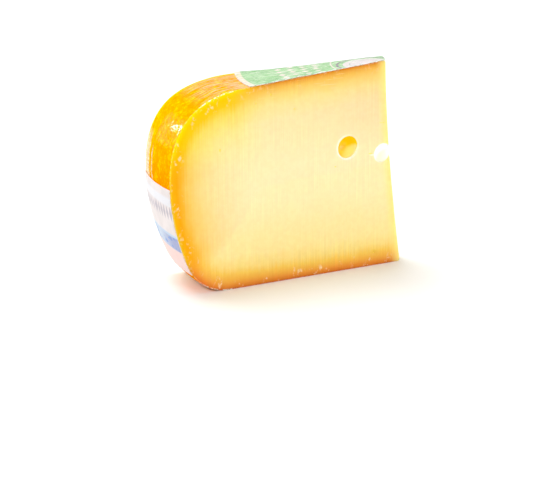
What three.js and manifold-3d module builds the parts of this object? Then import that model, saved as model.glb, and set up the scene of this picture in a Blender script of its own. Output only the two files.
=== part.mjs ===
// A wedge of medium-aged gouda, cut from a whole wheel with domed top, round
// shoulder and bulging rim. The long cut face looks along -Y, the rim along -X, and
// the thin end at the wheel's middle, along +X, is trimmed off blunt. Two round eyes
// open in the cut face, the second one through the trimmed end too. A round paper
// label lies on the top and a second one wraps the rim.
// Millimetres, +Z up, standing on the flat of the wheel's underside.

import * as THREE from 'three';
import { mergeVertices } from 'three/addons/utils/BufferGeometryUtils.js';
import Module from 'manifold-3d';

const { degToRad } = THREE.MathUtils;

// The wheel's axis, upright through this point of the plan.
const AXIS = new THREE.Vector2(66.8, -1.9);
const WHEEL_SEGMENTS = 300;

// The wheel's profile: the widest ring of the rim, the arc below it and the round
// bottom corner, the height at which the straight top meets the shoulder.
const RIM_RADIUS = 141.5;
const RIM_HEIGHT = 64;
const SIDE_ARC_RADIUS = 118;
const CORNER_RADIUS = 26.7;
const SHOULDER_RADIUS = 91;
const SHOULDER_HEIGHT = 113.5;
const SHOULDER_TOP_HANDLE = 11;
const SHOULDER_RIM_HANDLE = 49;
const TOP_SLOPE = 0.0775;
const ARC_DIVISIONS = 8;
const SHOULDER_DIVISIONS = 22;

// The two long cuts. Each passes the axis at a distance and is turned from the X
// direction, so that the piece widens towards the rim. side is their side in Y.
const FRONT_CUT = { angle: degToRad(8.5), past: 2.7, side: -1 };
const BACK_CUT = { angle: degToRad(7), past: 10.3, side: 1 };

// The trimmed end, measured along the front face from the axis: its upper corner,
// how much further its foot reaches out, and how far the cut is turned from square.
const TIP_TOP = 5.8;
const TIP_FOOT_SPREAD = 10.9;
const TIP_SPREAD_HEIGHT = 120;
const TIP_SPREAD_POWER = 1.6;
const TIP_SKEW = degToRad(24);
const TIP_DIVISIONS = 12;

// Each eye: its place on the front face, measured from the axis and the underside,
// the radius of the bubble and how deep behind the face its middle lies.
const EYES = [
  { along: 30, height: 72.9, radius: 7.2, depth: 3.5 },
  { along: 7.6, height: 66.9, radius: 5.9, depth: 2.2 },
];
const EYE_SEGMENTS = 32;
const EYE_RINGS = 20;

// The paper labels. The top one lies a little off the wheel's middle, and the rim
// one keeps clear of what the piece stands on.
const LABEL_GAP = 0.3;
const LABEL_THICKNESS = 0.4;
const TOP_LABEL_RADIUS = 95;
const TOP_LABEL_SHIFT = new THREE.Vector2(4, -6);
const TOP_LABEL_SEGMENTS = 180;
const RIM_LABEL_FOOT = 12;
const RIM_LABEL_TOP = 61.7;

// How far a cutting solid goes past what it cuts, and the size of one that is as
// large as the whole wheel.
const PAST = 20;
const WHOLE = 400;

const CHEESE = { color: 0xfbe8a6, roughness: 0.45, metalness: 0 };
const TOP_PAPER = { color: 0xaad7a0, roughness: 0.6, metalness: 0 };
const RIM_PAPER = { color: 0xf6f0f2, roughness: 0.6, metalness: 0 };

const wasm = await Module();
wasm.setup();

// A closed geometry as a solid that can be joined and cut.
function solidOf(geometry) {
  geometry.deleteAttribute('normal');
  geometry.deleteAttribute('uv');
  const merged = mergeVertices(geometry);
  return new wasm.Manifold(new wasm.Mesh({
    numProp: 3,
    vertProperties: new Float32Array(merged.attributes.position.array),
    triVerts: new Uint32Array(merged.index.array),
  }));
}

// A finished solid as a named mesh.
function meshOf(solid, name, finish) {
  const { vertProperties, triVerts } = solid.getMesh();
  const geometry = new THREE.BufferGeometry();
  geometry.setAttribute('position', new THREE.BufferAttribute(vertProperties, 3));
  geometry.setIndex(new THREE.BufferAttribute(triVerts, 1));
  geometry.computeVertexNormals();
  const mesh = new THREE.Mesh(geometry, new THREE.MeshStandardMaterial(finish));
  mesh.name = name;
  return mesh;
}

// A flat shape pushed straight, unbevelled.
function pushed(shape, depth) {
  return new THREE.ExtrudeGeometry(shape, { depth, bevelEnabled: false });
}

// A point of the plan beside a long cut: so far along the cut from the axis
// towards the rim and so far into the cheese.
function besideCut({ angle, past, side }, along, depth) {
  const inward = depth - past;
  return new THREE.Vector2(
    -along * Math.cos(angle) - inward * Math.sin(angle),
    side * (along * Math.sin(angle) - inward * Math.cos(angle)));
}

// Height of the wheel's sloping top at a distance from its axis.
function topHeight(radius) {
  return SHOULDER_HEIGHT + (SHOULDER_RADIUS - radius) * TOP_SLOPE;
}

// The shoulder, from the widest ring of the rim up to the straight top.
function shoulderPoints() {
  const handleRadius = SHOULDER_RADIUS + SHOULDER_TOP_HANDLE;
  const shoulder = new THREE.CubicBezierCurve(
    new THREE.Vector2(RIM_RADIUS, RIM_HEIGHT),
    new THREE.Vector2(RIM_RADIUS, RIM_HEIGHT + SHOULDER_RIM_HANDLE),
    new THREE.Vector2(handleRadius, topHeight(handleRadius)),
    new THREE.Vector2(SHOULDER_RADIUS, SHOULDER_HEIGHT));
  return shoulder.getPoints(SHOULDER_DIVISIONS);
}

// The side below the widest ring, from the flat underside's edge up. The bottom
// corner's arc and the side's arc share a tangent.
function sidePoints() {
  const sideCentre = RIM_RADIUS - SIDE_ARC_RADIUS;
  const rise = RIM_HEIGHT - CORNER_RADIUS;
  const flatRadius = sideCentre + Math.sqrt((SIDE_ARC_RADIUS - CORNER_RADIUS) ** 2 - rise ** 2);
  const joint = -Math.atan2(rise, flatRadius - sideCentre);
  const side = new THREE.Path();
  side.absarc(flatRadius, CORNER_RADIUS, CORNER_RADIUS, -Math.PI / 2, joint);
  side.absarc(sideCentre, RIM_HEIGHT, SIDE_ARC_RADIUS, joint, 0);
  return side.getPoints(ARC_DIVISIONS);
}

// Outline points moved straight out from the surface that they follow.
function movedOut(points, distance) {
  return points.map((point, index) => {
    const before = points[Math.max(index - 1, 0)];
    const after = points[Math.min(index + 1, points.length - 1)];
    const along = after.clone().sub(before).normalize();
    return new THREE.Vector2(point.x + along.y * distance, point.y - along.x * distance);
  });
}

// A closed outline turned round the wheel's axis.
function turned(outline) {
  return solidOf(new THREE.LatheGeometry(outline, WHEEL_SEGMENTS).rotateX(Math.PI / 2));
}

// The space between the two long cuts, as a tall prism.
function betweenCuts() {
  const reach = RIM_RADIUS + PAST;
  const plan = new THREE.Shape([
    besideCut(FRONT_CUT, -PAST, 0),
    besideCut(BACK_CUT, -PAST, 0),
    besideCut(BACK_CUT, reach, 0),
    besideCut(FRONT_CUT, reach, 0),
  ]);
  return solidOf(pushed(plan, WHOLE).translate(0, 0, -PAST));
}

// Where the trimmed end's front edge lies along the front face at a height.
function tipAlong(height) {
  return TIP_TOP - TIP_FOOT_SPREAD * (1 - height / TIP_SPREAD_HEIGHT) ** TIP_SPREAD_POWER;
}

// What the trimming cut takes away. Its section, seen along the cut, is drawn
// upright and pushed along the cut's own direction.
function tipCutter() {
  const squeeze = Math.cos(TIP_SKEW);
  const section = new THREE.Shape();
  section.moveTo(-WHOLE, -PAST);
  section.lineTo(tipAlong(0) * squeeze, -PAST);
  for (let step = 0; step <= TIP_DIVISIONS; step += 1) {
    const height = TIP_SPREAD_HEIGHT * step / TIP_DIVISIONS;
    section.lineTo(tipAlong(height) * squeeze, height);
  }
  section.lineTo(TIP_TOP * squeeze, WHOLE);
  section.lineTo(-WHOLE, WHOLE);
  section.closePath();
  const foot = besideCut(FRONT_CUT, 0, 0);
  const cutter = pushed(section, WHOLE).translate(0, 0, -WHOLE / 2);
  cutter.rotateX(Math.PI / 2);
  cutter.rotateZ(Math.PI + FRONT_CUT.angle - TIP_SKEW);
  return solidOf(cutter.translate(foot.x, foot.y, 0));
}

// The bubble of one eye.
function eyeBubble({ along, height, radius, depth }) {
  const place = besideCut(FRONT_CUT, along, depth);
  const bubble = new THREE.SphereGeometry(radius, EYE_SEGMENTS, EYE_RINGS).rotateX(Math.PI / 2);
  return solidOf(bubble.translate(place.x, place.y, height));
}

// What the long cuts and the trimmed end leave of a solid that goes round the wheel.
function cutOut(wheelSolid) {
  return wheelSolid.intersect(betweenCuts()).subtract(tipCutter());
}

// The cheese itself: paste and rind in one piece.
function cheeseSolid() {
  const outline = [
    new THREE.Vector2(0, 0),
    ...sidePoints(),
    ...shoulderPoints().slice(1),
    new THREE.Vector2(0, topHeight(0)),
  ];
  return EYES.reduce((cheese, eye) => cheese.subtract(eyeBubble(eye)), cutOut(turned(outline)));
}

// The two faces of a paper skin over a stretch of the wheel's outline.
function paperOver(points) {
  const inner = movedOut(points, LABEL_GAP);
  const outer = movedOut(points, LABEL_GAP + LABEL_THICKNESS);
  return [inner.reverse(), outer];
}

// The round label on the top, a disc that follows the slope and is cut with the
// wedge. Both faces of its paper end on the axis, as a turned outline has to.
function topLabelSolid() {
  const top = [...shoulderPoints(), new THREE.Vector2(0, topHeight(0))];
  const [inner, outer] = paperOver(top.filter(({ y }) => y > topHeight(TOP_LABEL_RADIUS + PAST)));
  inner[0].x = 0;
  outer[outer.length - 1].x = 0;
  const skin = turned([...inner, ...outer]);
  const disc = new THREE.CylinderGeometry(TOP_LABEL_RADIUS, TOP_LABEL_RADIUS, WHOLE, TOP_LABEL_SEGMENTS);
  disc.rotateX(Math.PI / 2).translate(TOP_LABEL_SHIFT.x, TOP_LABEL_SHIFT.y, 0);
  return cutOut(skin.intersect(solidOf(disc)));
}

// The label round the rim: a ring that follows the rim, cut with the wedge and
// trimmed level below and above.
function rimLabelSolid() {
  const side = [...sidePoints(), ...shoulderPoints().slice(1)];
  const [inner, outer] = paperOver(side.filter(({ y }) => y < RIM_LABEL_TOP + PAST));
  const ring = turned([...inner, ...outer, inner[0]]);
  const height = RIM_LABEL_TOP - RIM_LABEL_FOOT;
  const band = new THREE.BoxGeometry(WHOLE, WHOLE, height).translate(0, 0, RIM_LABEL_FOOT + height / 2);
  return cutOut(ring.intersect(solidOf(band)));
}

const gouda = new THREE.Group();
gouda.add(
  meshOf(cheeseSolid(), 'wedge', CHEESE),
  meshOf(topLabelSolid(), 'top_label', TOP_PAPER),
  meshOf(rimLabelSolid(), 'rim_label', RIM_PAPER),
);
gouda.position.set(AXIS.x, AXIS.y, 0);

export default gouda;
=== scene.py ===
"""A wedge of medium-aged gouda: its paste, wax rind and eyes, and two paper labels.

Shapes are worked out in millimetres, in the part's own frame, and become metres where
a mesh is made. The wheel, the long cuts and the labels' outlines have the part's sizes.
The eyes and the trimmed end are set anew, within a millimetre of the part's.
"""

import math

import bmesh
import bpy
import numpy as np
from mathutils import Color, Matrix, Vector, kdtree, noise
from mathutils.geometry import delaunay_2d_cdt


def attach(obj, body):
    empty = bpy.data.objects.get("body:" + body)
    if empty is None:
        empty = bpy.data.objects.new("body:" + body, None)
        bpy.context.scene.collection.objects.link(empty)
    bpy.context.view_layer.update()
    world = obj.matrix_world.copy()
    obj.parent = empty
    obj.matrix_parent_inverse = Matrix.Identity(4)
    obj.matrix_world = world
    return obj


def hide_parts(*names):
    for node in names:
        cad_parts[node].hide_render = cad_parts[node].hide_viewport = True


MM = 0.001

# The wheel's axis in plan, and its profile.
AXIS = np.array([66.8, -1.9])
RIM_RADIUS = 141.5
RIM_HEIGHT = 64.0
SIDE_ARC_RADIUS = 118.0
CORNER_RADIUS = 26.7
SHOULDER_RADIUS = 91.0
SHOULDER_HEIGHT = 113.5
SHOULDER_TOP_HANDLE = 11.0
SHOULDER_RIM_HANDLE = 49.0
TOP_SLOPE = 0.0775

# The two long cuts, as a turn from the X direction and how far each lies in front
# of the axis.
FRONT_ANGLE = math.radians(8.5)
FRONT_OFFSET = 2.7
BACK_ANGLE = math.radians(-7.0)
BACK_OFFSET = -10.3

# The trimmed end: its place along the front cut at the top, how much further its foot
# reaches, and how far it is turned from square.
TIP_TOP = 5.2
TIP_FOOT_SPREAD = 10.9
TIP_SPREAD_HEIGHT = 120.0
TIP_SPREAD_POWER = 1.6
TIP_SKEW = math.radians(24.0)
TIP_TURN = FRONT_ANGLE + math.pi / 2 - TIP_SKEW

# The eyes: place along the front cut and height, radius, depth of the middle, how much
# they are stretched along a slant and across it, and how far in from the rim they are
# rounded off.
MAIN_EYE = {"along": 30.0, "height": 72.7, "radius": 7.0, "depth": 3.5, "tall": 1.03, "wide": 0.94,
            "softness": 1.0}
EDGE_EYE = {"along": 7.1, "height": 66.7, "radius": 5.7, "depth": 2.2, "tall": 1.07, "wide": 0.9,
            "softness": 1.8}
EYE_TURN = math.radians(-40.0)
EYE_UNEVENNESS = 0.012
SOFT_REACH = 3.0

# Where the walls of the eyes come among the cheese's materials.
EYE_SLOT = 2

# The painted highlight on the main eye's rim, a pale ring: how far outside the opening it
# lies, how strong it is all round, how much stronger at the lower left, where the rim faces
# the light, which way that is, and over what depth it fades.
RIM_HIGHLIGHT_OUT = 0.65
RIM_HIGHLIGHT_SHARE = 0.62
RIM_HIGHLIGHT_LEAN = 0.38
RIM_HIGHLIGHT_WAY = (0.85, -0.5)
RIM_HIGHLIGHT_DEPTH = (1.3, 0.7)

# Pinholes in the front cut: place along the cut, height, and their reach each way.
# The last two are slits, one of them running out of the eye at the edge.
PINHOLES = [
    (110.7, 80.3, 0.65, 0.9),
    (79.0, 108.0, 0.5, 0.9),
    (88.4, 103.8, 0.45, 0.45),
    (64.4, 98.5, 0.4, 0.4),
    (38.1, 62.2, 0.7, 0.45),
    (12.2, 7.7, 0.5, 0.5),
    (7.2, 84.4, 2.4, 0.25),
    (14.9, 67.1, 1.6, 0.35),
]
PINHOLE_DEPTH = 0.6
PINHOLE_REACH = 2.0

# The pale tail that runs out of the eye at the edge, in the same terms.
TAIL = (13.2, 66.2, 2.4, 0.6)

# The drier, paler corner by the trimmed end: its place on the front cut and its reach.
DRY_PLACE = (3.0, 95.0)
DRY_REACH = (38.0, 30.0)

# Where the paste's colours change over, by the height of the nearest rind towards the
# shoulder and the underside, and by its radius towards the top label. Towards the shoulder
# the paste is yellower, a painted glow; under the top label it is browner, painted shade;
# towards the underside it is deeper orange, partly its own colour and partly painted shade
# and reflection from below.
SHOULDER_CHANGE = (66.0, 92.0)
BASE_CHANGE = (24.0, 6.0)
LABEL_CHANGE = (108.0, 80.0)

# Marks on the cheese fade out over this share of their reach.
MARK_EDGE = (1.1, 0.4)

# The labels: the top one's radius and the place of its middle from the axis, the
# rim one's foot and top, how far the paper's two faces stand off the wax.
TOP_LABEL_RADIUS = 95.0
TOP_LABEL_SHIFT = np.array([4.0, -6.0])
RIM_LABEL_FOOT = 12.0
RIM_LABEL_TOP = 61.7
PAPER_INNER = 0.12
PAPER_OUTER = 0.42
WRINKLE = 0.16
TOP_WRINKLE_SPACING = 5.0
RIM_WRINKLE_SPACING = 6.0
FRAY = 0.45
FRAY_SPACING = 2.3
FRAY_FADE = 25.0

# The top label's print: the place of its pale round, and its rings of lozenges, with the
# share of a lozenge's pitch by which each ring is turned on.
ROUND_PLACE = np.array([49.0, -5.5])
MOTIF_START = 46.0
MOTIF_PITCH = 7.0
MOTIF_STOP = 74.0
MOTIF_COUNT = 60
MOTIF_TURN = 0.37

# How far the border of the painted glare on the wax, a pale reflection along its silhouette,
# leans back for each millimetre up.
GLARE_LEAN = 0.12

# How finely the surfaces are divided.
BASE_STEPS = 70
CORNER_STEPS = 40
SIDE_STEPS = 60
SHOULDER_STEPS = 110
SLOPE_STEPS = 100
END_STEPS = 130
FILLET_STEPS = 5
ACROSS_STEPS = 58
EDGE_STEPS = 4
FACE_SPACING = 2.0
FACE_START = -20.0
FACE_MARGIN = 1.6
PROFILE_SPACING = 0.5
PROFILE_STEPS = 900
PINHOLE_RINGS = np.array([1.0, 0.8, 0.6, 0.4, 0.2])
PINHOLE_POINTS = 36
EYE_RIM_RINGS = np.arange(-1.6, 2.0, 0.4)
EYE_RIM_POINTS = 72
BUBBLE_SEGMENTS = 96
BUBBLE_RINGS = 56
TOP_LABEL_GRID = (60, 190)
RIM_LABEL_GRID = (60, 70)
RIM_LABEL_STEPS = 4000

# Roundings: of the cut edges, and of the tip's upper and lower corners.
EDGE_ROUNDING = 0.5
CORNER_ROUNDING = 1.6

# Unevenness of the wax and of the cut faces, a rise on the far shoulder, and nicks in the
# cut edges. The wax's swells fade out at the underside and before the trimmed end, and
# the cut faces' waves at their edges.
SWELL = 0.35
SWELL_SPACING = 16.0
FINE_SWELL_SPACING = 0.37 * SWELL_SPACING
SWELL_FADE = (1.0, 8.0)
SWELL_FADE_STEPS = 8
RISE = 1.25
RISE_PLACE = np.array([-21.0, 20.0])
RISE_REACH = 17.0
WAVE = 0.22
WAVE_SPACING = 30.0
WAVE_FADE = (1.0, 12.0)
NICK = 0.7
NICK_SPACING = 1.7

# The light: the white world's strength, the suns as the direction that each shines from,
# its strength and its spread in degrees, and two small lamps for the glints on the wax
# and in the main eye, as a direction, distance, size and power in metres and watts. The
# floor's reach is in millimetres.
WORLD_STRENGTH = 0.2
SUNS = {
    "key": ((-0.50, -0.67, 0.55), 1.15, 12.0),
    "fill": ((0.26, -0.87, 0.42), 0.15, 5.0),
    "right": ((0.95, -0.12, 0.28), 1.2, 20.0),
    "back": ((-0.15, 0.35, 0.92), 2.15, 40.0),
    "rim": ((-0.53, 0.79, 0.31), 1.1, 90.0),
}
LAMPS = {
    "shoulder_glint": ((-0.53, 0.79, 0.31), 1.03, 0.08, 1.7),
    "eye_glint": ((0.15, -0.93, 0.33), 1.0, 0.1, 1.5),
}
LAMP_AIM = Vector((0.0, 0.0, 0.06))
FLOOR_REACH = 6000.0

# The camera, as a place in metres and a turn, its lens, and the nearest and furthest
# that it sees in metres.
CAMERA_PLACE = (-0.32146, -0.88960, 0.29159)
CAMERA_AZIMUTH = math.radians(-19.366)
CAMERA_TILT = math.radians(90.0 - 16.096)
CAMERA_ROLL = math.radians(-0.634)
CAMERA_LENS = 115.9
CAMERA_CLIP = (0.05, 30.0)


def srgb(red, green, blue):
    """A colour given as 0 to 255 in sRGB, as linear RGBA."""
    return (*Color((red / 255, green / 255, blue / 255)).from_srgb_to_scene_linear(), 1.0)


def smooth_step(low, high, value):
    """0 below low, 1 above high, and a smooth rise between. low may be the larger."""
    share = np.clip((value - low) / (high - low), 0.0, 1.0)
    return share * share * (3.0 - 2.0 * share)


# The wheel's profile


def top_height(radius):
    """Height of the wheel's sloping top."""
    return SHOULDER_HEIGHT + (SHOULDER_RADIUS - radius) * TOP_SLOPE


def side_profile():
    """(radius, height) from the flat underside's edge up to the widest ring."""
    side_centre = RIM_RADIUS - SIDE_ARC_RADIUS
    rise = RIM_HEIGHT - CORNER_RADIUS
    flat_radius = side_centre + math.sqrt((SIDE_ARC_RADIUS - CORNER_RADIUS) ** 2 - rise ** 2)
    joint = -math.atan2(rise, flat_radius - side_centre)
    corner = np.linspace(-math.pi / 2, joint, CORNER_STEPS)
    side = np.linspace(joint, 0.0, SIDE_STEPS)[1:]
    return np.vstack([
        np.column_stack([flat_radius + CORNER_RADIUS * np.cos(corner),
                         CORNER_RADIUS + CORNER_RADIUS * np.sin(corner)]),
        np.column_stack([side_centre + SIDE_ARC_RADIUS * np.cos(side),
                         RIM_HEIGHT + SIDE_ARC_RADIUS * np.sin(side)]),
    ])


def shoulder_profile():
    """(radius, height) from the widest ring up to the start of the straight top."""
    handle = SHOULDER_RADIUS + SHOULDER_TOP_HANDLE
    a = np.array([RIM_RADIUS, RIM_HEIGHT])
    b = np.array([RIM_RADIUS, RIM_HEIGHT + SHOULDER_RIM_HANDLE])
    c = np.array([handle, top_height(handle)])
    d = np.array([SHOULDER_RADIUS, SHOULDER_HEIGHT])
    t = np.linspace(0.0, 1.0, SHOULDER_STEPS)[:, None]
    return ((1 - t) ** 3 * a + 3 * (1 - t) ** 2 * t * b
            + 3 * (1 - t) * t ** 2 * c + t ** 3 * d)


SIDE = side_profile()
SHOULDER = shoulder_profile()
RIM = np.vstack([SIDE, SHOULDER[1:]])


def upper_height(radius):
    """Height of the wheel's upper surface at a distance from its axis."""
    over_shoulder = np.interp(radius, SHOULDER[::-1, 0], SHOULDER[::-1, 1])
    return np.where(radius < SHOULDER_RADIUS, top_height(radius), over_shoulder)


# Cut lines: straight lines in plan, each an angle and an offset from the axis


def directions(angle):
    """Unit vectors of a cut line in plan: towards the rim, and out of the front."""
    return (np.array([-math.cos(angle), -math.sin(angle)]),
            np.array([math.sin(angle), -math.cos(angle)]))


def cut_between(share, inset=0.0):
    """Angle and offset of a cut line, from the front cut at 0 to the back one at 1."""
    front, back = FRONT_OFFSET - inset, BACK_OFFSET + inset
    return (FRONT_ANGLE + (BACK_ANGLE - FRONT_ANGLE) * share,
            front + (back - front) * share)


def placed(angle, offset, flat):
    """Points of the part's frame from (along, height) rows on a cut."""
    to_rim, outward = directions(angle)
    plan = AXIS + flat[:, :1] * to_rim + offset * outward
    return np.column_stack([plan, flat[:, 1]])


TIP_OUTWARD = np.array([math.sin(TIP_TURN), -math.cos(TIP_TURN)])


def tip_distance(height):
    """How far out of the axis the trimmed end lies at a height."""
    to_rim, outward = directions(FRONT_ANGLE)
    rise = np.clip(1.0 - np.asarray(height) / TIP_SPREAD_HEIGHT, 0.0, None)
    along = TIP_TOP - TIP_FOOT_SPREAD * rise ** TIP_SPREAD_POWER
    return along * (to_rim @ TIP_OUTWARD) + FRONT_OFFSET * (outward @ TIP_OUTWARD)


def tip_along(angle, offset, height):
    """Where along a cut line the trimmed end crosses it at a height."""
    to_rim, outward = directions(angle)
    return (tip_distance(height) - offset * (outward @ TIP_OUTWARD)) / (to_rim @ TIP_OUTWARD)


def bend(before, corner, after, steps):
    """Points of a curve that rounds a corner, without its two ends."""
    t = (np.arange(1, steps + 1) / (steps + 1))[:, None]
    return (1 - t) ** 2 * before + 2 * t * (1 - t) * corner + t ** 2 * after


def outline(angle, offset):
    """The wedge's closed outline on a cut, as (along, height) rows.

    It runs along the base to the rim, up over the shoulder, along the top to the
    tip and down the trimmed end.
    """
    rim = np.column_stack([np.sqrt(RIM[:, 0] ** 2 - offset ** 2), RIM[:, 1]])
    top_tip = tip_along(angle, offset, TIP_SPREAD_HEIGHT)
    peak = np.array([top_tip, top_height(math.hypot(top_tip, offset))])
    foot = np.array([tip_along(angle, offset, 0.0), 0.0])
    base_start = foot + [CORNER_ROUNDING, 0.0]
    base = base_start + np.linspace(0, 1, BASE_STEPS, endpoint=False)[:, None] * (rim[0] - base_start)
    slope_along = np.linspace(rim[-1, 0], top_tip + CORNER_ROUNDING, SLOPE_STEPS)[1:]
    slope = np.column_stack([slope_along, top_height(np.hypot(slope_along, offset))])
    end_height = np.linspace(peak[1] - CORNER_ROUNDING, CORNER_ROUNDING, END_STEPS)
    end = np.column_stack([tip_along(angle, offset, end_height), end_height])
    return np.vstack([
        base, rim, slope, bend(slope[-1], peak, end[0], FILLET_STEPS), end,
        bend(end[-1], foot, base[0], FILLET_STEPS),
    ])


RIM_END = BASE_STEPS + len(RIM) + SLOPE_STEPS - 1
END_START = RIM_END + FILLET_STEPS // 2
END_STOP = RIM_END + FILLET_STEPS + END_STEPS + FILLET_STEPS // 2


def inward_normals(flat):
    """Unit normals of a closed outline, pointing into it."""
    along = np.roll(flat, -1, axis=0) - np.roll(flat, 1, axis=0)
    normals = np.column_stack([-along[:, 1], along[:, 0]])
    return normals / np.linalg.norm(normals, axis=1)[:, None]


def lumps(points, spacing, shift=(0.0, 0.0, 0.0)):
    """Noise from about -1 to 1 at each of some points."""
    return np.array([noise.noise(Vector(p) / spacing + Vector(shift)) for p in points])


def swell(points):
    """How far the wax's surface stands out from the true wheel at each of some points."""
    broad = lumps(points, SWELL_SPACING)
    fine = lumps(points, FINE_SWELL_SPACING, (9.1, 3.3, 5.7))
    away = np.linalg.norm(points[:, :2] - RISE_PLACE, axis=1) / RISE_REACH
    return RISE * np.exp(-away ** 2) - SWELL * (0.5 + 0.4 * broad + 0.18 * fine)


# Meshes


def add_object(name, data):
    """A new object in the scene for a mesh, a light or the camera."""
    made = bpy.data.objects.new(name, data)
    bpy.context.scene.collection.objects.link(made)
    return made


def new_object(name, vertices, faces, materials, slots):
    """A mesh object from points in millimetres."""
    mesh = bpy.data.meshes.new(name)
    mesh.from_pydata((np.asarray(vertices) * MM).tolist(), [], [list(map(int, f)) for f in faces])
    for material in materials:
        mesh.materials.append(material)
    mesh.polygons.foreach_set("material_index", np.asarray(slots, np.int32))
    mesh.polygons.foreach_set("use_smooth", np.ones(len(mesh.polygons), bool))
    mesh.update()
    return add_object(name, mesh)


def points_of(mesh):
    """A mesh's vertices, in millimetres."""
    flat = np.zeros(len(mesh.vertices) * 3)
    mesh.vertices.foreach_get("co", flat)
    return flat.reshape(-1, 3) / MM


def put_marks(mesh, **marks):
    """Stores marks, each of one number per vertex, for the materials to read."""
    for name, values in marks.items():
        layer = mesh.attributes.new(name, "FLOAT", "POINT")
        layer.data.foreach_set("value", np.asarray(values, np.float32))


def grid_faces(rows, columns, closed):
    """Quads of a grid of points, row by row. closed joins the last column to the first."""
    last = columns if closed else columns - 1
    return [(r * columns + c, r * columns + (c + 1) % columns,
             (r + 1) * columns + (c + 1) % columns, (r + 1) * columns + c)
            for r in range(rows - 1) for c in range(last)]


# The cheese


def rings_round(along, height, radii, count):
    """Points on circles round a place on a cut face."""
    turn = np.linspace(0, 2 * math.pi, count, endpoint=False)
    return np.vstack([
        np.column_stack([along + radius * np.cos(turn + index * math.pi / count),
                         height + radius * np.sin(turn + index * math.pi / count)])
        for index, radius in enumerate(radii)
    ])


def opening_radius(eye):
    """Radius of the hole that an eye makes in the flat of the front cut."""
    return math.sqrt(eye["radius"] ** 2 - eye["depth"] ** 2)


def face_points(angle, offset, features):
    """Points inside a cut face, away from its edge: an even spread, closer round features.

    A feature is a place, the radii of its rings and how many points each has.
    """
    across = np.arange(FACE_START, RIM_RADIUS, FACE_SPACING)
    up = np.arange(FACE_SPACING, top_height(0.0), FACE_SPACING * math.sqrt(3) / 2)
    spread = np.array([(a + (row % 2) * FACE_SPACING / 2, h) for row, h in enumerate(up) for a in across])
    rings = []
    for along, height, radii, count in features:
        away = np.hypot(spread[:, 0] - along, spread[:, 1] - height)
        spread = spread[away > max(radii) + FACE_SPACING / 2]
        rings.append(rings_round(along, height, radii, count))
    points = np.vstack([spread, *rings])
    radius = np.hypot(points[:, 0], offset)
    inside = points[:, 0] > tip_along(angle, offset, points[:, 1]) + FACE_MARGIN
    inside &= points[:, 1] > FACE_MARGIN
    inside &= rind_search(np.column_stack([radius, points[:, 1]]))[0] > FACE_MARGIN
    inside &= radius < RIM_RADIUS
    return points[inside]


def close_rim(count):
    """The rim's profile as this many close-set points."""
    steps = np.linspace(0, len(RIM) - 1, count)
    return np.column_stack([np.interp(steps, np.arange(len(RIM)), RIM[:, k]) for k in (0, 1)])


def search_tree(points):
    """A tree for finding the nearest of some points."""
    tree = kdtree.KDTree(len(points))
    for index, point in enumerate(points):
        tree.insert(point, index)
    tree.balance()
    return tree


def profile_tree():
    """Close-set points of the wheel's whole profile, for finding the nearest rind."""
    base_radii = np.arange(0, SIDE[0, 0], PROFILE_SPACING)
    base = np.column_stack([base_radii, np.zeros(len(base_radii))])
    top_radii = np.arange(SHOULDER_RADIUS, 0, -PROFILE_SPACING)
    slope = np.column_stack([top_radii, top_height(top_radii)])
    samples = np.vstack([base, close_rim(PROFILE_STEPS), slope])
    return search_tree(np.pad(samples, ((0, 0), (0, 1))))


PROFILE = profile_tree()


def rind_search(points):
    """For (radius, height) rows inside the wheel: depth below the rind, and the nearest
    rind's radius and height."""
    found = [PROFILE.find((radius, height, 0)) for radius, height in points]
    return np.array([(distance, place.x, place.y) for place, _, distance in found]).T


def cap(ring, inner):
    """Triangles that fill a ring of (along, height) points through inner points.

    Their indices count the ring's points first and then the inner ones.
    """
    flat = [Vector(p) for p in np.vstack([ring, inner])]
    _, _, faces, origins, _, _ = delaunay_2d_cdt(flat, [], [list(range(len(ring)))], 1, 1e-6)
    return [[origins[corner][0] for corner in face] for face in faces]


def cut_edge(share):
    """A long cut's outline drawn in by its rounding, and that and the outline in place."""
    cut = cut_between(share)
    edge = outline(*cut)
    inset = edge + EDGE_ROUNDING * inward_normals(edge)
    return inset, placed(*cut, inset), placed(*cut, edge)


def belt_rows():
    """The closed rows of points from the front cut's edge to the back one's.

    Each row is a list of points, one for each point of the outline.
    """
    across = []
    for share in np.linspace(0.0, 1.0, ACROSS_STEPS):
        cut = cut_between(share, EDGE_ROUNDING)
        flat = outline(*cut)
        to_rim, _ = directions(cut[0])
        normals = inward_normals(flat)
        points = placed(*cut, flat)
        stand_out = swell(points) * wax_share(flat)
        outward = np.column_stack([-normals[:, :1] * to_rim, -normals[:, 1]])
        across.append(points + stand_out[:, None] * outward)
    front_inset, first, front_edge = cut_edge(0.0)
    back_inset, last, back_edge = cut_edge(1.0)
    rows = [first, *edge_rows(first, front_edge, across[0]), *across,
            *edge_rows(across[-1], back_edge, last), last]
    return rows, front_inset, back_inset


def wax_share(flat):
    """How much of the wax's unevenness a point of an outline gets: none on the flat
    underside or at the trimmed end."""
    share = smooth_step(*SWELL_FADE, flat[:, 1])
    share[END_START:END_STOP] = 0.0
    share[END_START - SWELL_FADE_STEPS:END_START] *= np.linspace(1.0, 0.0, SWELL_FADE_STEPS)
    return share


def edge_rows(before, edge, after):
    """Rows of points that round an edge, a little nicked."""
    rows = []
    for t in np.arange(1, EDGE_STEPS + 1) / (EDGE_STEPS + 1):
        row = (1 - t) ** 2 * before + 2 * t * (1 - t) * edge + t ** 2 * after
        inward = before + after - 2 * edge
        nick = np.maximum(0.0, lumps(edge, NICK_SPACING) - 0.1)
        rows.append(row + NICK * t * (1 - t) * nick[:, None] * inward)
    return rows


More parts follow.
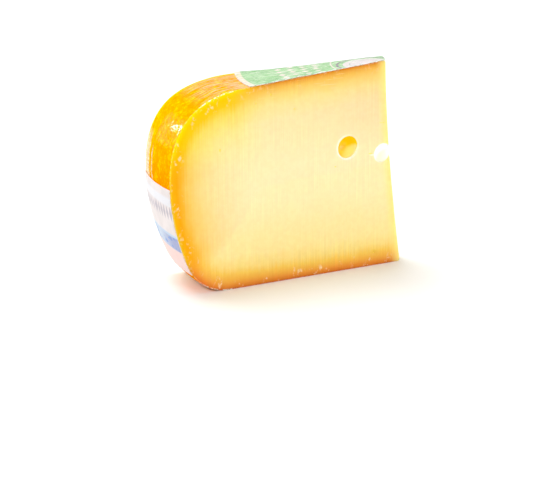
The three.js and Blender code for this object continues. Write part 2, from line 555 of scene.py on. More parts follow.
def front_features():
    """The pinholes, the tail and the eyes, as the rings of points that each needs."""
    features = [(along, height, max(wide, tall) * PINHOLE_RINGS, PINHOLE_POINTS)
                for along, height, wide, tall in [*PINHOLES, TAIL]]
    features += [(eye["along"], eye["height"], opening_radius(eye) + EYE_RIM_RINGS, EYE_RIM_POINTS)
                 for eye in (MAIN_EYE, EDGE_EYE)]
    return features


def face_sink(cut, inner, filled, holes):
    """How far each inner point of a cut face sinks in: gentle waves, and pinholes."""
    sink = WAVE * (0.5 + 0.5 * lumps(filled, WAVE_SPACING))
    depth, _, _ = rind_search(np.column_stack([np.hypot(inner[:, 0], cut[1]), inner[:, 1]]))
    room = np.minimum(depth, inner[:, 0] - tip_along(*cut, inner[:, 1]))
    sink *= smooth_step(*WAVE_FADE, room)
    for along, height, wide, tall in holes:
        away = np.hypot((inner[:, 0] - along) / wide, (inner[:, 1] - height) / tall)
        sink += PINHOLE_DEPTH * min(wide, tall) * np.clip(1.0 - away ** 2, 0.0, 1.0)
    return sink


def cheese_mesh(materials):
    """The wedge's body as one closed mesh, before the eyes are opened."""
    rows, front_ring, back_ring = belt_rows()
    columns = len(front_ring)
    faces = grid_faces(len(rows), columns, closed=True)
    waxed = np.zeros((len(rows) - 1, columns), int)
    waxed[EDGE_STEPS // 2 + 1:len(rows) - EDGE_STEPS // 2 - 2] = 1
    waxed[:, END_START:END_STOP] = 0
    slots = list(waxed.ravel())
    points = np.vstack(rows)
    caps = (
        (0.0, front_ring, 0, front_features(), PINHOLES),
        (1.0, back_ring, len(rows) - 1, [], []),
    )
    for share, ring, row, features, holes in caps:
        cut = cut_between(share)
        inner = face_points(*cut, features)
        filled = placed(*cut, inner)
        _, outward = directions(cut[0])
        out = outward if share == 0.0 else -outward
        filled[:, :2] -= face_sink(cut, inner, filled, holes)[:, None] * out
        start = len(points)
        for face in cap(ring, inner):
            faces.append([row * columns + k if k < columns else start + k - columns for k in face])
            slots.append(0)
        points = np.vstack([points, filled])
    body = new_object("gouda", points, faces, materials, slots)
    facing_out(body.data)
    return body


def facing_out(mesh):
    """Turns a closed mesh's faces to point outwards."""
    work = bmesh.new()
    work.from_mesh(mesh)
    bmesh.ops.recalc_face_normals(work, faces=work.faces)
    work.to_mesh(mesh)
    work.free()


def eye_centre(eye):
    """The middle of an eye's bubble."""
    flat = np.array([[eye["along"], eye["height"]]])
    return placed(FRONT_ANGLE, FRONT_OFFSET - eye["depth"], flat)[0]


def bubble(eye, material):
    """A slightly uneven ball that opens an eye."""
    work = bmesh.new()
    bmesh.ops.create_uvsphere(
        work, u_segments=BUBBLE_SEGMENTS, v_segments=BUBBLE_RINGS, radius=eye["radius"])
    to_rim, outward = directions(FRONT_ANGLE)
    centre = eye_centre(eye)
    turn = Matrix.Rotation(EYE_TURN, 2)
    stretch = turn.transposed() @ Matrix.Diagonal((eye["wide"], eye["tall"])) @ turn
    for vertex in work.verts:
        uneven = noise.noise(vertex.co / eye["radius"] + Vector(centre))
        side, out, up = vertex.co * (1.0 + EYE_UNEVENNESS * uneven)
        side, up = stretch @ Vector((side, up))
        vertex.co = Vector(centre + np.append(side * to_rim + out * outward, up)) * MM
    for face in work.faces:
        face.smooth = True
    bmesh.ops.recalc_face_normals(work, faces=work.faces)
    mesh = bpy.data.meshes.new("bubble")
    work.to_mesh(mesh)
    work.free()
    mesh.materials.append(material)
    return add_object("bubble", mesh)


def open_eye(body, eye, material):
    """Cuts an eye's bubble out of the cheese."""
    cutter = bubble(eye, material)
    cut = body.modifiers.new("eye", "BOOLEAN")
    cut.operation = "DIFFERENCE"
    cut.solver = "MANIFOLD"
    cut.material_mode = "TRANSFER"
    cut.object = cutter
    bpy.context.view_layer.update()
    made = bpy.data.meshes.new_from_object(body.evaluated_get(bpy.context.evaluated_depsgraph_get()))
    body.modifiers.clear()
    old = body.data
    body.data = made
    bpy.data.meshes.remove(old)
    bpy.data.objects.remove(cutter)


def on_rims(mesh):
    """A mask over a mesh's vertices of those where the eyes' walls meet the cut faces."""
    wall, rest = np.zeros((2, len(mesh.vertices)), bool)
    for polygon in mesh.polygons:
        mask = wall if polygon.material_index == EYE_SLOT else rest
        mask[list(polygon.vertices)] = True
    return wall & rest


def soften_rims(body, passes=16):
    """Rounds the rims where the eyes meet the cut faces."""
    mesh = body.data
    points = points_of(mesh)
    edges = np.zeros(len(mesh.edges) * 2, int)
    mesh.edges.foreach_get("vertices", edges)
    edges = edges.reshape(-1, 2)
    tree = search_tree(points[on_rims(mesh)])
    weight = np.zeros(len(points))
    for eye in (MAIN_EYE, EDGE_EYE):
        away = np.linalg.norm(points - eye_centre(eye), axis=1)
        for index in np.nonzero(away < eye["radius"] + SOFT_REACH)[0]:
            weight[index] = max(0.0, 1.0 - tree.find(points[index])[2] / eye["softness"])
    for _ in range(passes):
        total = np.zeros_like(points)
        count = np.zeros(len(points))
        for a, b in ((0, 1), (1, 0)):
            np.add.at(total, edges[:, a], points[edges[:, b]])
            np.add.at(count, edges[:, a], 1)
        points += 0.5 * weight[:, None] * (total / count[:, None] - points)
    mesh.vertices.foreach_set("co", (points * MM).ravel())
    mesh.update()


def cut_depths(plan):
    """How far points of the plan lie behind the front cut and before the back one."""
    return (FRONT_OFFSET - plan @ directions(FRONT_ANGLE)[1],
            plan @ directions(BACK_ANGLE)[1] - BACK_OFFSET)


def mark_cheese(body):
    """Stores on the cheese what its materials read."""
    mesh = body.data
    points = points_of(mesh)
    plan = points[:, :2] - AXIS
    flat = np.column_stack([np.linalg.norm(plan, axis=1), points[:, 2]])
    depth, near_radius, near_height = rind_search(flat)
    behind_front, before_back = cut_depths(plan)
    along, height = plan @ directions(FRONT_ANGLE)[0], points[:, 2]
    marks = [smooth_step(*MARK_EDGE, np.hypot((along - middle) / wide, (height - level) / tall))
             for middle, level, wide, tall in [*PINHOLES, TAIL]]
    tail = marks.pop()
    left, up = along - MAIN_EYE["along"], height - MAIN_EYE["height"]
    away = np.hypot(left, up)
    # The painted highlight round the main eye's rim, stronger at the lower left, joined with the pale
    # tail.
    ring = smooth_step(*MARK_EDGE, np.abs(away - opening_radius(MAIN_EYE) - RIM_HIGHLIGHT_OUT))
    lean = (RIM_HIGHLIGHT_WAY[0] * left + RIM_HIGHLIGHT_WAY[1] * up) / away
    highlight_and_tail = np.maximum(ring * (RIM_HIGHLIGHT_SHARE + RIM_HIGHLIGHT_LEAN * lean), tail)
    corner = np.hypot((along - DRY_PLACE[0]) / DRY_REACH[0], (height - DRY_PLACE[1]) / DRY_REACH[1])
    put_marks(
        mesh,
        rind_depth=depth,
        under_label=smooth_step(*LABEL_CHANGE, near_radius) * (near_height > RIM_HEIGHT),
        base_side=smooth_step(*BASE_CHANGE, near_height),
        shoulder_side=smooth_step(*SHOULDER_CHANGE, near_height),
        tip_depth=tip_distance(height) - plan @ TIP_OUTWARD,
        cut_depth=np.minimum(behind_front, before_back),
        back_depth=before_back,
        pinhole=np.max(marks, axis=0) * (behind_front < PINHOLE_REACH),
        eye_rim=highlight_and_tail * smooth_step(*RIM_HIGHLIGHT_DEPTH, behind_front),
        lit_side=-(left + up) / MAIN_EYE["radius"],
        dry_corner=np.exp(-corner ** 2),
        edge_eye=along < (MAIN_EYE["along"] + EDGE_EYE["along"]) / 2,
    )


# The labels


def shell(name, outer, inner, materials):
    """A thin closed sheet between two grids of points, its rims in the second slot."""
    rows, columns = outer.shape[:2]
    size = rows * columns
    face = grid_faces(rows, columns, closed=False)
    faces = face + [tuple(size + k for k in quad[::-1]) for quad in face]
    slots = [0] * len(faces)
    grid = np.arange(size).reshape(rows, columns)
    border = [*grid[0], *grid[1:, -1], *grid[-1, -2::-1], *grid[-2:0:-1, 0]]
    for here, there in zip(border, border[1:] + border[:1]):
        faces.append((there, here, size + here, size + there))
        slots.append(1)
    points = np.vstack([outer.reshape(-1, 3), inner.reshape(-1, 3)])
    made = new_object(name, points, faces, materials, slots)
    facing_out(made.data)
    return made


def label(name, grid, row_of, materials):
    """A label between the two long cuts.

    row_of gives a row at a share of the way between them: its points on the true wheel,
    the way out of the wax at each, and how far it is lifted.
    """
    rows, columns = grid
    sheets = np.zeros((2, rows, columns, 3))
    for row, share in enumerate(np.linspace(0.0, 1.0, rows)):
        points, ways, lift = row_of(share, columns)
        for sheet, gap in zip(sheets, (PAPER_OUTER, PAPER_INNER)):
            sheet[row] = points + ways * (lift + gap)[:, None]
    made = shell(name, *sheets, materials)
    behind_front, before_back = cut_depths(points_of(made.data)[:, :2] - AXIS)
    put_marks(made.data, cut_depth=behind_front, back_depth=before_back)
    return made


def wrinkle(points, spacing):
    """A small lift of the paper at each point, in millimetres."""
    return WRINKLE * (0.5 + 0.5 * lumps(points, spacing, (3.1, 7.7, 1.9)))


def top_label_row(share, columns):
    """A row of the round label on the top, with the front cut's edge frayed."""
    angle, offset = cut_between(share)
    to_rim, outward = directions(angle)
    start = offset * outward - TOP_LABEL_SHIFT
    ahead = start @ to_rim
    far = -ahead + math.sqrt(ahead ** 2 - start @ start + TOP_LABEL_RADIUS ** 2)
    along = np.linspace(tip_along(angle, offset, TIP_SPREAD_HEIGHT), far, columns)
    points = placed(angle, offset, np.column_stack([along, upper_height(np.hypot(along, offset))]))
    fray = FRAY * np.maximum(0.0, 0.4 + lumps(points, FRAY_SPACING))
    points[:, :2] -= (fray * math.exp(-share * FRAY_FADE))[:, None] * outward
    lift = swell(points) + wrinkle(points, TOP_WRINKLE_SPACING)
    return points, np.array([0.0, 0.0, 1.0]), lift


def rim_label_row(share, columns):
    """A row of the level band round the rim."""
    close = close_rim(RIM_LABEL_STEPS)
    band = close[(close[:, 1] >= RIM_LABEL_FOOT) & (close[:, 1] <= RIM_LABEL_TOP)]
    band = band[np.linspace(0, len(band) - 1, columns).astype(int)]
    run = np.gradient(band, axis=0)
    normals = np.column_stack([run[:, 1], -run[:, 0]]) / np.linalg.norm(run, axis=1)[:, None]
    angle, offset = cut_between(share)
    points = placed(angle, offset, np.column_stack([np.sqrt(band[:, 0] ** 2 - offset ** 2), band[:, 1]]))
    ways = np.column_stack([normals[:, :1] * directions(angle)[0], normals[:, 1]])
    lift = swell(points) * smooth_step(*SWELL_FADE, points[:, 2]) + wrinkle(points, RIM_WRINKLE_SPACING)
    return points, ways, lift


# Materials


class Shader:
    """A material's node tree, with short calls that return sockets."""

    def __init__(self, name, **fixed):
        self.material = bpy.data.materials.new(name)
        self.material.use_nodes = True
        self.nodes = self.material.node_tree.nodes
        self.surface = self.nodes["Principled BSDF"]
        for socket, value in fixed.items():
            self.set(socket.replace("_", " ").title().replace("Ior", "IOR"), value)
        self.place = self.node("TexCoord").outputs["Object"]

    def put(self, socket, value):
        """Links a socket, or sets its value."""
        if isinstance(value, bpy.types.NodeSocket):
            self.material.node_tree.links.new(value, socket)
        else:
            socket.default_value = value

    def set(self, name, value):
        self.put(self.surface.inputs[name], value)

    def node(self, kind, inputs=None, **settings):
        """A new node, with its settings, and its inputs linked or set."""
        made = self.nodes.new("ShaderNode" + kind)
        for name, value in settings.items():
            setattr(made, name, value)
        for key, value in (inputs or {}).items():
            self.put(made.inputs[key], value)
        return made

    def mark(self, name):
        return self.node("Attribute", attribute_name=name).outputs["Fac"]

    def math(self, operation, a, b=0.0):
        return self.node("Math", {0: a, 1: b}, operation=operation).outputs[0]

    def times(self, product, *others):
        """The product of two or more values."""
        for other in others:
            product = self.math("MULTIPLY", product, other)
        return product

    def plus(self, a, b):
        return self.math("ADD", a, b)

    def minus(self, a, b):
        return self.math("SUBTRACT", a, b)

    def over(self, a, b):
        return self.math("DIVIDE", a, b)

    def from_middle(self, value):
        """How far a value lies from 0.5, either way."""
        return self.math("ABSOLUTE", self.minus(value, 0.5))

    def step(self, value, low, high):
        """0 where value is at low, 1 at high, with a smooth rise between."""
        inputs = {"Value": value, "From Min": min(low, high), "From Max": max(low, high)}
        rise = self.node("MapRange", inputs, interpolation_type="SMOOTHSTEP").outputs["Result"]
        return rise if low < high else self.minus(1.0, rise)

    def strip(self, value, start, stop, edge):
        """1 where value lies between start and stop, 0 beyond, with edges this wide."""
        return self.times(self.step(value, start, start + edge), self.step(value, stop, stop - edge))

    def mix(self, share, a, b, blend="MIX"):
        return self.node("Mix", {0: share, 6: a, 7: b}, data_type="RGBA", blend_type=blend).outputs[2]

    def painted(self, colour, *layers):
        """A colour under layers, each a share and a red, green and blue."""
        for share, *paint in layers:
            colour = self.mix(share, colour, srgb(*paint))
        return colour

    def noise(self, spacing, detail=2.0, rough=0.5, shift=(0.0, 0.0, 0.0), vector=None):
        """Noise between 0 and 1, with a spacing in millimetres, one for all axes or one
        for each, or over a vector of its own."""
        if vector is None:
            scale = [1.0 / (s * MM) for s in np.broadcast_to(spacing, 3)]
            inputs = {"Scale": scale, "Location": shift, "Vector": self.place}
            vector = self.node("Mapping", inputs).outputs["Vector"]
        inputs = {"Scale": 1.0, "Detail": detail, "Roughness": rough, "Vector": vector}
        return self.node("TexNoise", inputs).outputs["Fac"]

    def ramp(self, value, stops):
        """A colour that runs through stops of a value and its red, green and blue."""
        last = stops[-1][0]
        node = self.node("ValToRGB", {"Fac": self.over(value, last)})
        marks = node.color_ramp.elements
        while len(marks) < len(stops):
            marks.new(1.0)
        for mark, (at, *colour) in zip(marks, stops):
            mark.position = at / last
            mark.color = srgb(*colour)
        return node.outputs["Color"]

    def bump(self, height, distance, under=None):
        """A surface bumped by a height, over another bumped one if it is given."""
        inputs = {"Distance": distance * MM, "Strength": 1.0, "Height": height}
        if under is not None:
            inputs["Normal"] = under
        return self.node("Bump", inputs).outputs["Normal"]

    def axes(self):
        """The place along X, Y and Z, in millimetres."""
        return [self.over(output, MM) for output in self.node("SeparateXYZ", {0: self.place}).outputs]

    def polar(self, centre):
        """Distance in millimetres and turn in radians round an upright axis."""
        x, y, _ = self.axes()
        dx = self.minus(x, centre[0])
        dy = self.minus(y, centre[1])
        away = self.math("SQRT", self.plus(self.times(dx, dx), self.times(dy, dy)))
        return away, self.math("ARCTAN2", dy, dx)


def paste_material():
    """Cut cheese: pale in the middle, deeper towards the rind, with fine knife lines."""
    s = Shader("cheese_paste", roughness=0.42, specular_ior_level=0.03, subsurface_weight=0.6,
               specular_tint=(1.0, 0.86, 0.6, 1.0),
               subsurface_radius=(1.0, 0.6, 0.25), subsurface_scale=0.006)
    rind = s.mark("rind_depth")
    under_label = s.mark("under_label")
    crumb = s.times(s.step(s.noise((1.8, 1.8, 2.4), 2.0, 0.55), 0.52, 0.68),
                    s.step(s.noise((6.0, 6.0, 12.0), 1.0), 0.48, 0.62),
                    s.step(rind, 0.3, 1.2), s.step(rind, 9.0, 4.0),
                    s.minus(0.8, s.times(under_label, 0.6)))
    scratch = s.times(s.step(s.noise((16.0, 16.0, 0.5), 2.0), 0.66, 0.72), under_label,
                      s.step(rind, 16.0, 12.0), 0.7)
    plain = paste_colour(s, rind, under_label)
    colour = s.painted(plain, (crumb, 252, 224, 176), (scratch, 253, 226, 172))
    dry = s.mix(1.0, colour, srgb(255, 246, 247), "MULTIPLY")
    colour = s.mix(s.mark("dry_corner"), colour, dry)
    # The painted highlight along the cut's edge.
    colour = edge_highlight(s, colour, s.polar(AXIS)[0])
    colour = s.painted(
        colour,
        # A painted glow: paler yellow near the trimmed end, as where light shines through its thin edge.
        (s.times(s.step(s.mark("tip_depth"), 6.5, 0.3), 0.8), 254, 234, 140),
        # A painted highlight round the main eye's rim, and the pale tail out of the edge eye.
        (s.mark("eye_rim"), 255, 250, 230),
        (s.times(s.mark("pinhole"), 0.8), 255, 232, 80),
    )
    drawn = s.minus(s.noise((0.7, 0.7, 45.0), 3.0, 0.6), 0.5)
    lines = s.times(drawn, s.plus(0.25, s.step(s.noise(24.0, 1.0), 0.42, 0.62)))
    tone = s.mix(s.step(lines, -0.2, 0.3), srgb(245, 243, 244), srgb(254, 253, 254))
    cloudy = s.step(s.noise(3.0, 3.0, 0.6, (2.0, 6.0, 1.0)), 0.35, 0.65)
    blotch = s.mix(cloudy, srgb(253, 251, 248), srgb(255, 255, 255))
    tone = s.mix(1.0, tone, blotch, "MULTIPLY")
    s.set("Base Color", s.mix(1.0, colour, tone, "MULTIPLY"))
    grain = s.noise(0.9, 3.0, 0.65)
    s.set("Roughness", s.plus(0.36, s.times(grain, 0.2)))
    normal = s.bump(lines, 0.04)
    s.set("Normal", s.bump(grain, 0.05, normal))
    return s.material


def paste_colour(s, rind, under_label):
    """The paste's colour by its depth below the rind, blurred by clouds and knife drag.

    It differs below the shoulder, the side, the top label and the underside: yellower below
    the shoulder, a painted glow of light through the rind; browner under the top label,
    painted shade; deeper orange towards the underside, partly its own colour near the
    rind and partly painted shade and reflection from below.
    """
    cloud = s.minus(s.noise(14.0, 3.0), 0.5)
    drag = s.minus(s.noise((0.9, 0.9, 60.0), 2.0, 0.6), 0.5)
    drag_reach = s.minus(6.0, s.times(under_label, 5.0))
    shift = s.plus(s.times(cloud, 5.0), s.times(drag, drag_reach))
    depth = s.plus(rind, s.times(shift, s.step(rind, 0.6, 12.0)))
    # Below the shoulder: yellower, a painted glow of light through the rind.
    shoulder = s.ramp(depth, [
        (0.0, 254, 226, 0), (1.2, 254, 216, 0), (3.5, 254, 200, 0), (7.0, 254, 202, 26),
        (12.0, 253, 217, 96), (20.0, 252, 227, 138), (32.0, 252, 231, 164), (48.0, 253, 235, 182)])
    side = s.ramp(depth, [
        (0.0, 252, 208, 40), (1.2, 249, 182, 16), (4.0, 248, 172, 10), (7.0, 248, 184, 50),
        (11.0, 249, 203, 98), (18.0, 250, 217, 138), (30.0, 251, 226, 164), (48.0, 253, 236, 184)])
    # Under the top label: browner and dark at the rind, painted shade.
    top = s.ramp(depth, [
        (0.0, 222, 106, 10), (0.6, 228, 138, 34), (1.6, 235, 168, 66), (4.0, 241, 195, 90),
        (7.5, 246, 213, 121), (12.0, 250, 225, 150), (22.0, 252, 228, 172), (48.0, 253, 236, 185)])
    # Towards the underside: deeper orange, partly its own colour and partly painted shade and reflection
    # from below.
    base = s.ramp(depth, [
        (0.0, 205, 88, 30), (1.1, 228, 130, 48), (2.7, 238, 157, 64), (5.3, 244, 185, 78),
        (8.4, 249, 208, 96), (12.3, 251, 225, 138), (19.0, 253, 232, 160), (48.0, 254, 237, 182)])
    colour = s.mix(s.mark("shoulder_side"), side, shoulder)
    colour = s.mix(under_label, colour, top)
    return s.mix(s.mark("base_side"), colour, base)


def edge_highlight(s, colour, away):
    """A painted highlight: the pale, broken line along the cut's edge, strongest on the
    shoulder.
    """
    # Where the painted highlight is broken.
    bare = s.step(s.noise(1.6, 3.0, 0.6, (5.0, 2.0, 8.0)), 0.45, 0.56)
    shoulder = s.times(s.step(away, 99.0, 104.0), s.step(away, 126.0, 118.0))
    share = s.times(s.step(s.mark("cut_depth"), 0.8, 0.35),
                    s.step(s.mark("rind_depth"), 0.8, 0.35),
                    bare, s.plus(0.15, s.times(shoulder, 0.85)))
    return s.painted(colour, (share, 255, 250, 225))


def eye_material():
    """The shiny wall of an eye, with painted light and shade: deep orange above, paler where
    light falls in, and at the edge eye a painted white glow.
    """
    s = Shader("eye_wall", roughness=0.06, subsurface_weight=1.0,
               subsurface_radius=(1.0, 0.85, 0.7), subsurface_scale=0.03)
    blur = s.times(s.minus(s.noise(4.0, 2.0), 0.5), 0.3)
    lit = s.plus(s.mark("lit_side"), blur)
    _, _, height = s.axes()
    # Painted shade and light: deep orange above, paler lower down and on the lit side.
    low = s.step(height, MAIN_EYE["height"] - 0.5, MAIN_EYE["height"] - 4.5)
    orange = s.mix(low, srgb(255, 216, 24), srgb(255, 224, 118))
    main_eye_painted_shading = s.mix(s.step(lit, 0.75, 1.15), orange, srgb(255, 234, 172))
    # The eye at the edge: painted white, a glow of light through its thin wall, cream at its lower right.
    edge = s.mix(s.step(lit, 4.5, 4.85), srgb(255, 255, 255), srgb(255, 249, 214))
    s.set("Base Color", s.mix(s.mark("edge_eye"), main_eye_painted_shading, edge))
    s.set("Specular IOR Level", s.step(height, MAIN_EYE["height"] + 1.0, MAIN_EYE["height"] - 1.5))
    s.set("Normal", s.bump(s.noise(2.4, 2.0), 0.01))
    return s.material


def wax_material():
    """Glossy wax over the rind, yellow on the shoulder and orange below as painted light and
    shade, dimpled.
    """
    s = Shader("wax_rind", roughness=0.25, subsurface_weight=0.2,
               subsurface_radius=(1.0, 0.45, 0.1), subsurface_scale=0.003,
               specular_tint=(1.0, 0.75, 0.3, 1.0))
    _, y, height = s.axes()
    away, turn = s.polar(AXIS)
    # By height: yellower on the shoulder, deeper orange at the foot and the top, painted light and shade.
    body = s.ramp(height, [
        (0.0, 236, 130, 0), (40.0, 246, 140, 0), (62.0, 250, 142, 0), (74.0, 252, 160, 0),
        (88.0, 253, 168, 0), (100.0, 253, 166, 0), (108.0, 252, 160, 0), (113.0, 248, 148, 16),
        (120.0, 245, 144, 34)])
    mottle = s.noise(1.5, 3.0, 0.62)
    patch = s.noise((4.0, 4.0, 6.0), 2.0, 0.5, (7.0, 3.0, 1.0))
    blend = s.plus(s.times(mottle, 0.6), s.times(patch, 0.4))
    # Streaks on the top, long along the radius: a painted pinkish-white reflection of the light above,
    # also bumped.
    reflection_streak_place = s.node("CombineXYZ", {0: s.times(turn, 95.0), 1: s.times(away, 0.09)})
    streak = s.noise(None, 3.0, 0.6, vector=reflection_streak_place.outputs[0])
    on_top = s.times(s.step(away, 124.0, 108.0), s.step(height, 99.0, 108.0))
    colour = s.painted(
        body,
        (s.times(s.step(blend, 0.5, 0.62), 0.65), 254, 214, 0),
        (s.times(s.step(blend, 0.49, 0.37), 0.6), 248, 140, 0),
        # The streaks on the top: a painted reflection.
        (s.times(s.step(streak, 0.44, 0.64), on_top, 0.74), 252, 204, 176),
        (s.times(s.step(s.mark("back_depth"), 5.0, 0.5), 0.8), 254, 212, 0),
    )
    # Painted glare: a pale reflection along the wax's silhouette, broken up, with a little real gloss
    # where it lies.
    glare = silhouette_glare(s, y, height)
    glare_colour = s.mix(s.step(s.noise((6.0, 6.0, 1.2), 3.0, 0.65, (3.0, 5.0, 1.0)), 0.42, 0.6),
                  srgb(238, 180, 92), srgb(246, 212, 160))
    colour = s.mix(s.times(glare, 0.8), colour, glare_colour)
    # The painted highlight along the cut's edge.
    s.set("Base Color", edge_highlight(s, colour, away))
    broken = s.step(s.noise((2.2, 2.2, 3.4), 2.0, 0.6, (6.0, 2.0, 4.0)), 0.42, 0.5)
    polished = s.times(s.step(height, 83.0, 86.0), s.step(height, 100.0, 95.0),
                       s.step(y, 6.0, -6.0), broken)
    s.set("Specular IOR Level", s.plus(s.times(polished, 0.06), s.times(glare, 0.04)))
    normal = s.bump(s.noise(2.4, 2.0, 0.5, (3.0, 1.0, 2.0)), 0.2)
    normal = s.bump(s.times(streak, on_top), 0.12, normal)
    s.set("Normal", s.bump(mottle, 0.012, normal))
    s.set("Roughness", s.plus(0.05, s.times(mottle, 0.1)))
    return s.material


def silhouette_glare(s, y, height):
    """Where painted glare, a pale reflection along the silhouette, lies on the rim's wax:
    behind a wavy border that leans back as it rises, and in one narrow strip in front of it."""
    wave = s.times(s.minus(s.noise((40.0, 40.0, 4.0), 4.0, 0.65), 0.5), 6.0)
    border = s.plus(y, s.minus(wave, s.times(height, GLARE_LEAN)))
    border = s.plus(border, GLARE_LEAN * RIM_HEIGHT)
    strip = s.times(s.strip(border, 2.6, 5.2, 0.6), s.step(height, 82.0, 74.0))
    glare = s.math("MAXIMUM", s.step(border, 9.5, 11.5), strip)
    glare_breakup = s.step(s.noise((3.0, 3.0, 1.4), 3.0, 0.65), 0.25, 0.5)
    return s.times(glare, s.step(height, 88.0, 78.0), glare_breakup)


def top_paper_material():
    """Light green paper with a cream border, plain rings of lozenges and worn spots."""
    s = Shader("label_paper_green", roughness=0.5, specular_ior_level=0.4)
    away, turn = s.polar(AXIS + TOP_LABEL_SHIFT)
    green = s.mix(s.step(s.noise(9.0, 3.0), 0.4, 0.62), srgb(144, 195, 133), srgb(170, 211, 158))
    shade = s.step(s.noise(2.5, 3.0, 0.6), 0.52, 0.66)
    cream = (234, 219, 211)
    close, _ = s.polar(ROUND_PLACE)
    colour = s.painted(
        green,
        (s.times(shade, 0.35), 118, 172, 124),
        (ring_motifs(s, away, turn), *cream),
        (s.strip(away, 39.8, 41.0, 0.4), *cream),
        (s.times(s.strip(close, 14.7, 16.4, 0.3), 0.85), 122, 94, 126),
        (s.step(close, 12.6, 12.2), 221, 211, 212),
        (s.times(s.strip(close, 8.0, 9.0, 0.2), 0.6), 150, 170, 150),
    )
    border = s.step(away, TOP_LABEL_RADIUS - 3.6, TOP_LABEL_RADIUS - 3.1)
    streak = s.step(s.noise((7.0, 1.2, 7.0), 3.0, 0.6, (4.0, 8.0, 2.0)), 0.45, 0.6)
    colour = s.mix(border, colour, s.mix(streak, srgb(*cream), srgb(218, 216, 172)))
    stroke = s.step(s.noise((7.0, 0.8, 7.0), 2.0, 0.6, (5.0, 1.0, 3.0)), 0.58, 0.66)
    scuff = s.noise((6.0, 0.9, 6.0), 4.0, 0.65)
    torn = s.times(s.step(s.mark("cut_depth"), 2.2, 0.4),
                   s.step(s.noise(2.2, 3.0, 0.6), 0.47, 0.58))
    s.set("Base Color", s.painted(
        colour,
        (s.times(stroke, 0.5), 116, 150, 122),
        (s.times(s.step(scuff, 0.53, 0.6), 0.8), 244, 240, 232),
        (s.times(s.step(s.mark("back_depth"), 1.4, 0.4), 0.6), 112, 150, 108),
        (s.times(torn, 0.85), 248, 246, 246),
    ))
    normal = s.bump(s.noise(0.6, 3.0, 0.7), 0.03)
    s.set("Normal", s.bump(scuff, 0.06, normal))
    s.set("Roughness", s.plus(0.4, s.times(scuff, 0.25)))
    return s.material


def ring_motifs(s, away, turn):
    """Rings of small lozenges round the label's middle, each ring turned a little on."""
    ring = s.over(s.minus(away, MOTIF_START), MOTIF_PITCH)
    across = s.from_middle(s.math("FRACT", ring))
    turned_on = s.times(s.math("FLOOR", ring), MOTIF_TURN)
    along = s.from_middle(s.math("FRACT", s.plus(s.times(turn, MOTIF_COUNT / (2 * math.pi)), turned_on)))
    lozenge = s.step(s.plus(s.times(across, 3.2), s.times(along, 3.0)), 1.1, 0.9)
    return s.times(lozenge, s.strip(away, MOTIF_START - 0.1, MOTIF_STOP + 0.1, 0.2))


def rim_paper_material():
    """Near-white paper with a blue stripe that deepens along it, and a row of lozenges."""
    s = Shader("label_paper_white", roughness=0.5, specular_ior_level=0.4)
    _, y, height = s.axes()
    _, turn = s.polar(AXIS)
    paper = s.mix(s.step(s.noise(12.0, 2.0), 0.4, 0.6), srgb(219, 210, 208), srgb(226, 217, 215))
    shade = s.times(s.step(height, 51.0, 53.0), s.step(height, 58.0, 56.0))
    colour = s.painted(
        paper, (s.step(height, 25.4, 25.0), 234, 204, 198), (s.times(shade, 0.6), 226, 230, 238))
    blue = s.mix(s.step(y, 4.0, -20.0), srgb(188, 202, 220), srgb(150, 158, 198))
    patch = s.step(s.noise((6.0, 6.0, 3.0), 1.0, 0.5, (1.0, 4.0, 6.0)), 0.6, 0.66)
    blue = s.painted(
        blue, (s.times(patch, 0.7), 92, 138, 210), (s.step(height, 33.2, 33.8), 184, 204, 226))
    colour = s.mix(s.strip(height, 25.2, 35.2, 0.6), colour, blue)
    phase = s.from_middle(s.math("FRACT", s.times(turn, 34.0)))
    rise = s.over(s.math("ABSOLUTE", s.minus(height, 48.0)), 4.5)
    lozenge = s.step(s.plus(s.times(phase, 2.6), rise), 1.05, 0.9)
    s.set("Base Color", s.painted(colour, (s.times(lozenge, 0.6), 150, 140, 160)))
    fibre = s.noise(0.7, 3.0, 0.7)
    normal = s.bump(s.noise(7.0, 2.0), 0.25)
    s.set("Normal", s.bump(fibre, 0.03, normal))
    s.set("Roughness", s.plus(0.4, s.times(fibre, 0.2)))
    return s.material


def paper_core_material(name, stained, bare):
    """The fibres that show at a paper's cut rims, partly stained by its print."""
    s = Shader(name, roughness=0.7)
    s.set("Base Color", s.mix(s.step(s.noise(1.6, 3.0, 0.6), 0.45, 0.58), stained, bare))
    return s.material


def floor_material():
    """The plain pale surface that the wedge stands on."""
    s = Shader("pale_floor", roughness=0.6, specular_ior_level=0.2)
    s.set("Base Color", s.mix(s.noise(60.0, 2.0), srgb(246, 246, 246), srgb(249, 249, 249)))
    return s.material


# The stage


def add_floor():
    corners = [(x * FLOOR_REACH, y * FLOOR_REACH, 0) for x, y in ((-1, -1), (1, -1), (1, 1), (-1, 1))]
    floor = new_object("floor", corners, [(0, 1, 2, 3)], [floor_material()], [0])


def add_light(name, kind, direction, strength):
    """A light that shines from a direction and isn't seen itself."""
    data = bpy.data.lights.new(name, kind)
    data.energy = strength
    made = add_object(name, data)
    made.rotation_euler = direction.to_track_quat("Z", "Y").to_euler()
    made.visible_camera = False
    return made


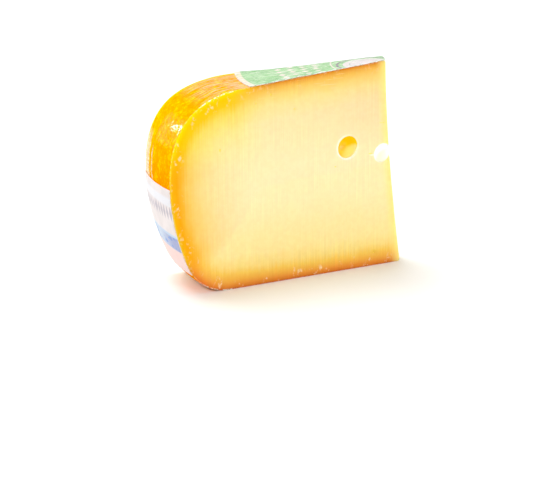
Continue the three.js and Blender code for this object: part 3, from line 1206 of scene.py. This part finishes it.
def add_lights():
    """The suns, and the square lamps, which face the wedge's middle."""
    for name, (direction, strength, spread) in SUNS.items():
        sun = add_light(name, "SUN", Vector(direction), strength)
        sun.data.angle = math.radians(spread)
    for name, (direction, distance, size, power) in LAMPS.items():
        way = Vector(direction).normalized()
        lamp = add_light(name, "AREA", way, power)
        lamp.data.shape = "SQUARE"
        lamp.data.size = size
        lamp.location = LAMP_AIM + way * distance


def add_world():
    world = bpy.data.worlds.new("studio")
    world.use_nodes = True
    background = world.node_tree.nodes["Background"]
    background.inputs["Color"].default_value = (1.0, 1.0, 1.0, 1.0)
    background.inputs["Strength"].default_value = WORLD_STRENGTH
    bpy.context.scene.world = world


def add_camera():
    data = bpy.data.cameras.new("camera")
    data.lens = CAMERA_LENS
    data.clip_start, data.clip_end = CAMERA_CLIP
    camera = add_object("camera", data)
    turn = (Matrix.Rotation(CAMERA_AZIMUTH, 4, "Z") @ Matrix.Rotation(CAMERA_TILT, 4, "X")
            @ Matrix.Rotation(CAMERA_ROLL, 4, "Z"))
    camera.matrix_world = Matrix.Translation(CAMERA_PLACE) @ turn
    bpy.context.scene.camera = camera


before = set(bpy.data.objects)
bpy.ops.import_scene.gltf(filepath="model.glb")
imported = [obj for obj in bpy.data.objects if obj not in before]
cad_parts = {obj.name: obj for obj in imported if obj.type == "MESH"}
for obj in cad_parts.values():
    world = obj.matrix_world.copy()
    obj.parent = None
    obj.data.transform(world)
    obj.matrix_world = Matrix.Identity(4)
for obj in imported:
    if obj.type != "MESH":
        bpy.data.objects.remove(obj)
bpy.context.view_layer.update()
bpy.context.scene.view_settings.view_transform = "Standard"
add_camera()
add_world()
add_floor()
add_lights()

paste = paste_material()
wax = wax_material()
eye_wall = eye_material()
green_core = paper_core_material("label_core_green", srgb(176, 206, 168), srgb(246, 246, 244))
white_core = paper_core_material("label_core_white", srgb(226, 208, 196), srgb(240, 234, 230))
gouda = cheese_mesh([paste, wax, eye_wall])
for eye in (MAIN_EYE, EDGE_EYE):
    open_eye(gouda, eye, eye_wall)
soften_rims(gouda)
mark_cheese(gouda)
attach(gouda, "root")
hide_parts("wedge")

label_top = label("label_top", TOP_LABEL_GRID, top_label_row, [top_paper_material(), green_core])
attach(label_top, "root")
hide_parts("top_label")

label_rim = label("label_rim", RIM_LABEL_GRID, rim_label_row, [rim_paper_material(), white_core])
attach(label_rim, "root")
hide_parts("rim_label")
